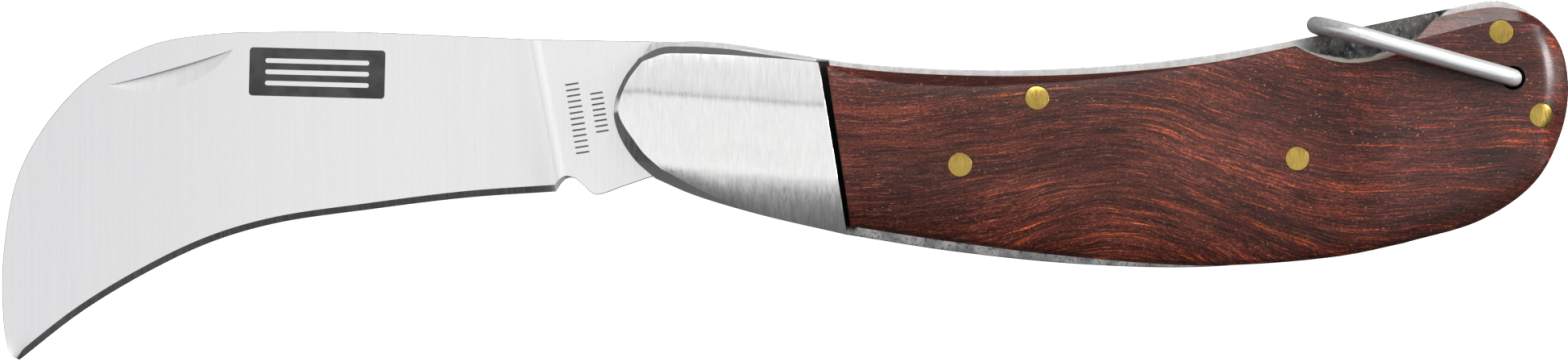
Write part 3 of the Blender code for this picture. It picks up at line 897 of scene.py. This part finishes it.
def blade_point(column, row, pairs):
    """Where a point of the blade's marked side lies: its column runs from the tip and its row from the spine."""
    high, low, tang = pairs[column]
    length = (high - low).length
    trim = min(1.0, length / 3.0)
    bevel = (BEVEL_WIDTH * (1 - tang) + CHAMFER * tang) * trim
    chamfer = CHAMFER * trim
    spine_z = SPINE_HALF[0] + (SPINE_HALF[1] - SPINE_HALF[0]) * min(1.0, column / BLADE_COLUMNS)
    ease = float(step((high.x + low.x) / 2, *PLUNGE))
    spine_z += (BLADE_HALF - spine_z) * ease
    foot_z = BEVEL_HALF + (BLADE_HALF - BEVEL_HALF) * ease
    if row == 0:
        return (*high, spine_z - chamfer)
    if row == BLADE_ROWS - 1:
        return (*low, EDGE_HALF + (BLADE_HALF - CHAMFER - EDGE_HALF) * ease)
    down = (row - 1) / (BLADE_ROWS - 3)
    place = high.lerp(low, (chamfer + (length - chamfer - bevel) * down) / length)
    return (*place, spine_z + (foot_z - spine_z) * down)


def make_blade(steel, etched, stamped):
    """The blade as one grid laid over its marked side, thickened to the other side and then cut."""
    pairs = blade_columns()
    across, down = len(pairs) - 1, BLADE_ROWS - 1
    nothing_selected()
    bpy.ops.mesh.primitive_grid_add(x_subdivisions=across, y_subdivisions=down, size=2)
    blade = named("ground_blade")
    for vertex in blade.data.vertices:
        column, row = round((vertex.co.x + 1) / 2 * across), round((1 - vertex.co.y) / 2 * down)
        vertex.co = blade_point(column, row, pairs)
    edit(blade)
    bpy.ops.mesh.extrude_region_move(TRANSFORM_OT_translate={"value": (0, 0, 0)})
    bpy.ops.transform.resize(value=(1, 1, -1), center_override=(0, 0, 0))
    outward(blade, 0.002)
    coated(blade, steel)
    tools = [nick_tool(blade, steel, stamped), mark_tool(blade, etched), *stamp_tools(blade, stamped)]
    carve(blade, bar("pivot_hole", (0, 0), PIVOT_HOLE_RADIUS, -CLEAR, CLEAR), *tools)
    settle(blade, "blade", "blade", 10)


def face_of(piece, point):
    """The height of a piece's upper face at a point."""
    hit, place, _normal, _face = piece.ray_cast((point[0], point[1], ABOVE), (0, 0, -1))
    return place.z if hit else BLADE_HALF


def nick_ring(blade, share):
    """One cross-section of the nail nick's cutter, from its wall's top round to the wall's foot."""
    wall = Vector(NICK_START).lerp(Vector(NICK_END), share)
    along = Vector(NICK_END) - Vector(NICK_START)
    bow = max((4 * share * (1 - share)) ** 0.9, 0.012)
    lip = wall + Vector((along.y, -along.x)).normalized() * NICK_SAG * bow
    high, deep = face_of(blade, wall), NICK_DEPTH * bow
    ring = [(*wall, CLEAR), (*lip, CLEAR), (*lip, face_of(blade, lip))]
    ring += [(*wall.lerp(lip, out), high - deep * down) for out, down in ((0.5, 0.62), (0.22, 0.95), (0.1, 1.0))]
    return ring


def nick_tool(blade, steel, stamped):
    """A scoop for the nail nick: a straight wall towards the spine and a floor that rises to a curved lip. Its
    wall is painted grey as shade.
    """
    rings = [nick_ring(blade, i / NICK_STEPS) for i in range(NICK_STEPS + 1)]
    around = len(rings[0])
    nothing_selected()
    bpy.ops.mesh.primitive_grid_add(x_subdivisions=NICK_STEPS, y_subdivisions=around, size=2)
    tool = named("nick_tool")
    coated(tool, steel, stamped)
    for face in tool.data.polygons:
        # Painted shade: the wall's faces take the stamps' grey.
        face.material_index = int(face.center.y < 2 / around - 1)
    for vertex in tool.data.vertices:
        column, row = round((vertex.co.x + 1) / 2 * NICK_STEPS), round((1 - vertex.co.y) / 2 * around)
        vertex.co = rings[column][row % around]
    edit(tool)
    bpy.ops.mesh.remove_doubles(threshold=0.0001)
    bpy.ops.mesh.fill_holes(sides=0)
    outward(tool)
    return tool


def rounded(x0, x1, y0, y1, radius, steps=6):
    """A rectangle with rounded corners."""
    made = []
    for cx, cy, start in ((x1 - radius, y1 - radius, 0), (x0 + radius, y1 - radius, 90),
                          (x0 + radius, y0 + radius, 180), (x1 - radius, y0 + radius, 270)):
        for i in range(steps + 1):
            turn = math.radians(start + 90 * i / steps)
            made.append(Vector((cx + radius * math.cos(turn), cy + radius * math.sin(turn))))
    return made


def turned(points, centre, deg):
    """Points turned about a centre."""
    spin = Matrix.Rotation(math.radians(deg), 2)
    centre = Vector(centre)
    return [centre + spin @ (p - centre) for p in points]


def sunk(name, blade, outline, depth, look):
    """A cutter whose lower face lies a little under the blade's own face."""
    tool = plate(name, outline, 0.0, CLEAR)
    for vertex in tool.data.vertices:
        if vertex.co.z < 1.0:
            vertex.co.z = face_of(blade, vertex.co) - depth
    coated(tool, look)
    return tool


def mark_tool(blade, etched):
    """One plain etched panel in which three bars are left bright."""
    outline = turned(rounded(*MARK_PANEL, MARK_CORNER), MARK_CENTRE, MARK_TILT)
    panel = sunk("mark_panel", blade, outline, MARK_DEPTH, etched)
    for level in MARK_BAR_LEVELS:
        strip = rounded(*MARK_BAR_ENDS, level - MARK_BAR_HALF, level + MARK_BAR_HALF, MARK_BAR_CORNER)
        carve(panel, plate("mark_strip", turned(strip, MARK_CENTRE, MARK_TILT), 0.0, ABOVE))
    return panel


def stamp_tools(blade, stamped):
    """Two leaning columns of short stamped strokes."""
    tools = []
    for left, right, low, high, count in STAMP_COLUMNS:
        for i in range(count):
            y = low + (high - low) * (i + 0.5) / count
            stroke = rounded(left, right, y - STAMP_HALF, y + STAMP_HALF, STAMP_CORNER, 3)
            stroke = turned(stroke, STAMP_CENTRE, STAMP_TILT)
            tools.append(sunk("stamp_stroke", blade, stroke, STAMP_DEPTH, stamped))
    return tools


# ---- liners and backspring

def pin_holes(*nodes, low=0.0, high=ABOVE):
    """Cutters for the holes that pins or rivets stand in."""
    return [bar("hole", spot(node), HOLE_RADIUS, low, high) for node in nodes]


def bail_hole(painted_shade, low=0.0, high=ABOVE):
    """A cutter for the bail's hole, which paints its wall near black as shade."""
    return bar("hole", BAIL_HOLE, BAIL_HOLE_RADIUS, low, high, painted_shade)


def make_liner(steel, painted_shade):
    """The two liners: a plate with broken edges and its holes, and its twin on the back."""
    liner = plate("pitted_liner", liner_outline(), LINER_IN, LINER_OUT)
    coated(liner, steel)
    rim = LINER_OUT - 0.01
    bevel_where(liner, lambda heights: min(heights) > rim, PLATE_BREAK)
    pivot_hole = bar("hole", (0, 0), PIVOT_HOLE_RADIUS, 0, ABOVE)
    carve(liner, *pin_holes(*THROUGH_PINS, *RIVETS), pivot_hole, bail_hole(painted_shade))
    settle_both(liner, "liner")


def make_spring(steel, painted_shade):
    """The backspring, with a blind hole for the bail's end on each side."""
    spring = plate("ground_backspring", spring_outline(), -BLADE_HALF, BLADE_HALF)
    coated(spring, steel)
    rim = BLADE_HALF - 0.01
    bevel_where(spring, lambda heights: min(heights) > rim or max(heights) < -rim, PLATE_BREAK)
    blind = [bail_hole(painted_shade, low, high) for low, high in ((-CLEAR, -BLIND_HALF), (BLIND_HALF, CLEAR))]
    carve(spring, *pin_holes(*THROUGH_PINS, low=-CLEAR, high=CLEAR), *blind)
    settle(spring, "handle", "backspring")


# ---- bolsters and scales

def inset_ring(runs, rim, share, more):
    """The outline moved in by a share of the chamfer's width. Points that would cross at a corner meet there."""
    shaped, cut = runs
    outline = [*shaped, *cut]
    cut_line = [shaped[-1], *cut, shaped[0]]
    break_width = CUT_BREAK * min(1.0, share + more)
    inward = []
    for i, here in enumerate(outline):
        before, after = outline[i - 1], outline[(i + 1) % len(outline)]
        a, b = (here - before).normalized(), (after - here).normalized()
        way = Vector((a.y + b.y, -a.x - b.x)).normalized()
        inward.append(way / max(0.5, way.dot(Vector((a.y, -a.x)))))
    made = outline
    for _ in range(5):
        x, y = xy_of(made)
        reach = rim(x, y)[0] * share + more
        reach[len(shaped):] = break_width
        made = [p + way * r for p, way, r in zip(outline, inward, reach)]
    x, y = xy_of(made)
    clear = to_line(x, y, shaped) > 0.93 * (rim(x, y)[0] * share + more)
    clear &= to_line(x, y, cut_line) > 0.93 * break_width
    clear &= within(x, y, outline)
    good = [p for p, keep in zip(made, clear) if keep]
    return [p if keep else min(good, key=lambda q: (q - p).length) for p, keep in zip(made, clear)]


def cover(name, runs, rim, slices):
    """A cover's solid: a wall round the outline, rings down the chamfer and a face sliced finely so it arches."""
    outline = [*runs[0], *runs[1]]
    piece = laid_out(name, outline, COVER_IN)
    count = len(outline)
    edit(piece)
    bpy.ops.mesh.extrude_region_move(TRANSFORM_OT_translate={"value": (0, 0, 1.0)})
    for share, more in RINGS:
        ring = inset_ring(runs, rim, share, more)
        bpy.ops.mesh.extrude_region_move(TRANSFORM_OT_translate={"value": (0, 0, 0.01)})
        done()
        for vertex, point in zip(piece.data.vertices[-count:], ring):
            vertex.co = (*point, vertex.co.z)
        bpy.ops.object.mode_set(mode="EDIT")
    for normal, places in (((1, 0, 0), slices[0]), ((0, 1, 0), slices[1])):
        for place in places:
            bpy.ops.mesh.select_all(action="SELECT")
            bpy.ops.mesh.bisect(plane_co=tuple(n * place for n in normal), plane_no=normal)
    done()
    mesh = piece.data
    top = [v for v in mesh.vertices if v.co.z > COVER_IN + 0.5]
    heights = face_height(*xy_of([v.co for v in top]), runs, rim)
    for vertex, height in zip(top, heights):
        vertex.co.z = height
    outward(piece, 0.004)
    return piece


def make_bolsters(steel):
    """The bolster and its twin on the back."""
    front = cover("brushed_bolster", bolster_runs(), bolster_rim, BOLSTER_SLICES)
    coated(front, steel)
    settle_both(front, "bolster", 14)


def make_scales(wood, painted_shade):
    """The wooden scale with its notch and holes, and its twin on the back."""
    front = cover("hardwood_scale", scale_runs(), scale_rim, SCALE_SLICES)
    coated(front, wood)
    carve(front, plate("notch", notch_outline(), 0, ABOVE), *pin_holes(*THROUGH_PINS, *RIVETS), bail_hole(painted_shade))
    settle_both(front, "scale", 18)


# ---- pins

def pin_head(piece, runs):
    """Files a bar's upper end to the scale's face, with a worn rim and a low crown."""
    top = max(v.co.z for v in piece.data.vertices)
    pick(piece, "FACE", lambda heights: min(heights) > top - 0.001)
    for inset, rise in PIN_CROWN:
        bpy.ops.mesh.inset(thickness=inset)
        bpy.ops.transform.translate(value=(0, 0, rise))
    done()
    heads = [v for v in piece.data.vertices if v.co.z > top - 0.001]
    heights = face_height(*xy_of([v.co for v in heads]), runs, scale_rim)
    for vertex, height in zip(heads, heights):
        vertex.co.z = height + (vertex.co.z - top) - PIN_SINK


def make_pins(metal):
    """Three pins right through the knife and, on each side, two short rivets."""
    runs = scale_runs()
    for name in THROUGH_PINS:
        half = bar(f"{name}_brass", spot(name), PIN_RADIUS, 0, ABOVE, metal)
        pin_head(half, runs)
        pick(half, "FACE", lambda heights: max(heights) < 0.001)
        bpy.ops.mesh.delete(type="FACE")
        done()
        mirror = half.modifiers.new("mirror", "MIRROR")
        mirror.use_axis = (False, False, True)
        mirror.merge_threshold = 0.001
        only(half)
        bpy.ops.object.modifier_apply(modifier=mirror.name)
        outward(half)
        settle(half, "handle", name)
    for node in RIVETS:
        name = node.removeprefix("front_")
        rivet = bar(f"{name}_brass", spot(node), PIN_RADIUS, LINER_IN, ABOVE, metal)
        pin_head(rivet, runs)
        settle_both(rivet, name)


# ---- the bail

def bail_path():
    """Half of the wire's centre line: x along the leg and z out of the hole on the marked side."""
    hook = [(0, BAIL_END_Z), (0, BAIL_BEND - BAIL_HOOK_BEND - 1.5)]
    for i in range(HOOK_STEPS + 1):
        turn = math.radians(90 * i / HOOK_STEPS)
        hook.append((BAIL_HOOK_BEND * (1 - math.cos(turn)), BAIL_BEND - BAIL_HOOK_BEND * (1 - math.sin(turn))))
    start = BAIL_REACH - BAIL_BEND
    reach = start - BAIL_HOOK_BEND
    leg = [(BAIL_HOOK_BEND + reach * i / LEG_STEPS, BAIL_BEND) for i in range(1, LEG_STEPS)]
    turns = [math.radians(90 * i / BEND_STEPS) for i in range(BEND_STEPS + 1)]
    bend = [(start + BAIL_BEND * math.sin(turn), BAIL_BEND * math.cos(turn)) for turn in turns]
    return hook + leg + bend


def make_bail(steel):
    """The bail: round wire swept along its line, with both ends hooked into the hole."""
    half = bail_path()
    line = [*half, *[(x, -z) for x, z in reversed(half[:-1])]]
    lean = Matrix.Rotation(math.radians(BAIL_DEG), 3, "Z")
    places = [Vector((*BAIL_HOLE, 0)) + lean @ Vector((x, 0, z)) for x, z in line]
    nothing_selected()
    bpy.ops.curve.primitive_bezier_curve_add()
    wire = named("bent_bail")
    curve = wire.data
    curve.splines.clear()
    spline = curve.splines.new("POLY")
    spline.points.add(len(places) - 1)
    for point, place in zip(spline.points, places):
        point.co = (*place, 1)
    curve.dimensions = "3D"
    curve.bevel_depth = WIRE_RADIUS
    curve.bevel_resolution = 10
    curve.use_fill_caps = True
    only(wire)
    bpy.ops.object.convert(target="MESH")
    outward(wire, 0.001)
    coated(wire, steel)
    settle(wire, "bail", "bail", 40)


# ---- floor, light and camera

FLOOR_RADIUS = 14.0
FLOOR_GAP = 0.00002
FLOOR_GLOW = 1.0
ROOM_HEIGHTS = (0.6, 0.95)
ROOM_LIGHT = (0.03, 0.2)
BACKDROP_LIGHT = 6.0
CAMERA_HEIGHT = 0.9
FRAME_WIDTH = 0.1822

# name, size, brightness, place and what it is aimed at, in metres
LIGHTS = (
    ("front_softbox", (4.4, 0.62), 0.83, (0.0, -0.14, 1.25), (0.0, -0.14, 0.0)),
    ("back_softbox", (4.4, 0.91), 0.67, (0.0, 0.745, 1.25), (0.0, 0.745, 0.0)),
    ("sheen_strip", (1.3, 1.4), 10.0, (-0.05, 2.15, 1.25), (-0.05, 2.15, 0.0)),
    ("butt_strip", (0.5, 0.8), 24.0, (1.25, 0.40, 0.75), (0.0, 0.0, 0.0)),
    ("nose_strip", (0.5, 1.2), 1.2, (-1.4, 0.1, 0.22), (0.0, 0.0, 0.0)),
)


def make_stage():
    """A pale floor and a dim room. Only the camera sees the floor's glow, so none of it lights the steel."""
    nothing_selected()
    bpy.ops.mesh.primitive_circle_add(
        vertices=96, radius=FLOOR_RADIUS, fill_type="NGON", location=(0, 0, -FLOOR_GAP))
    floor = named("floor")
    made, shader, place = new_material("pale_floor")
    seen = add(tree_of(place), "ShaderNodeLightPath").outputs["Is Camera Ray"]
    cloud = noise(stretched(place, (3.0, 3.0, 3.0)), 2.0)
    pale = blend(cloud, (0.90, 0.90, 0.90), (0.93, 0.93, 0.93))
    fill(shader, Base_Color=blend(seen, (0.11, 0.11, 0.11), pale), Roughness=0.9, Specular_IOR_Level=0.1)
    fill(shader, Emission_Color=blend(seen, (0.0, 0.0, 0.0), (1.0, 1.0, 1.0)), Emission_Strength=FLOOR_GLOW)
    coated(floor, made)

    world = bpy.data.worlds.new("studio")
    bpy.context.scene.world = world
    world.use_nodes = True
    tree = world.node_tree
    seen = add(tree, "ShaderNodeLightPath").outputs["Is Camera Ray"]
    sky = add(tree, "ShaderNodeTexCoord").outputs["Generated"]
    height = add(tree, "ShaderNodeSeparateXYZ", Vector=sky).outputs[2]
    room = ranged(height, *ROOM_HEIGHTS, *ROOM_LIGHT)
    strength = plus(room, times(seen, BACKDROP_LIGHT))
    fill(tree.nodes["Background"], Color=(1, 1, 1, 1), Strength=strength)


def make_light(name, size, glow, place, aim):
    """A flat panel of light whose face has the given brightness."""
    light = bpy.data.lights.new(name, "AREA")
    light.shape = "RECTANGLE"
    light.size, light.size_y = size
    light.energy = glow * math.pi * size[0] * size[1]
    lamp = added(name, light)
    lamp.location = place
    lamp.rotation_euler = (Vector(aim) - Vector(place)).to_track_quat("-Z", "Y").to_euler()


def make_camera():
    """Straight above the knife, far enough to flatten it, with the frame's width just over the knife's length."""
    low, high = (Vector(corner) for corner in cad_box)
    centre = (low + high) / 2
    camera = bpy.data.cameras.new("camera")
    camera.sensor_width = 36.0
    camera.lens = camera.sensor_width * CAMERA_HEIGHT / FRAME_WIDTH
    camera.clip_start, camera.clip_end = 0.05, 50.0
    seat = added("camera", camera)
    seat.location = (centre.x, centre.y, PIVOT.z + CAMERA_HEIGHT)
    bpy.context.scene.camera = seat


make_camera()
make_stage()
for name, size, glow, place, aim in LIGHTS:
    make_light(name, size, glow, place, aim)
bpy.context.scene.view_settings.view_transform = "Standard"

blade_steel = blade_look()
bolster_steel = ground_steel(
    "brushed_bolster_steel", (0.87, 0.87, 0.865), 0.22, (3300.0, 420.0, 420.0), 0.07, 0.010, waves=5.0)
liner_steel = liner_steel_look()
spring_steel = ground_steel(
    "ground_spring_steel", (0.62, 0.62, 0.61), 0.36, (300.0, 3000.0, 3000.0), 0.08, 0.006, pits=0.2)
wire_steel = ground_steel(
    "drawn_wire_steel", (0.86, 0.86, 0.87), 0.34, (60.0, 2600.0, 2600.0), 0.16, 0.03, pits=0.1, metal=0.62,
    turn=-BAIL_DEG)

make_blade(blade_steel, etched_steel(), stamp_grey_and_nick_shade())
# Painted shade: the near-black colour of the bail hole's walls.
painted_shade = dark_hole()
make_liner(liner_steel, painted_shade)
make_spring(spring_steel, painted_shade)
make_bolsters(bolster_steel)
make_scales(hardwood(), painted_shade)
make_pins(brass())
make_bail(wire_steel)

for name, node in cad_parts.items():
    if not node.hide_render:
        coated(node, spring_steel)
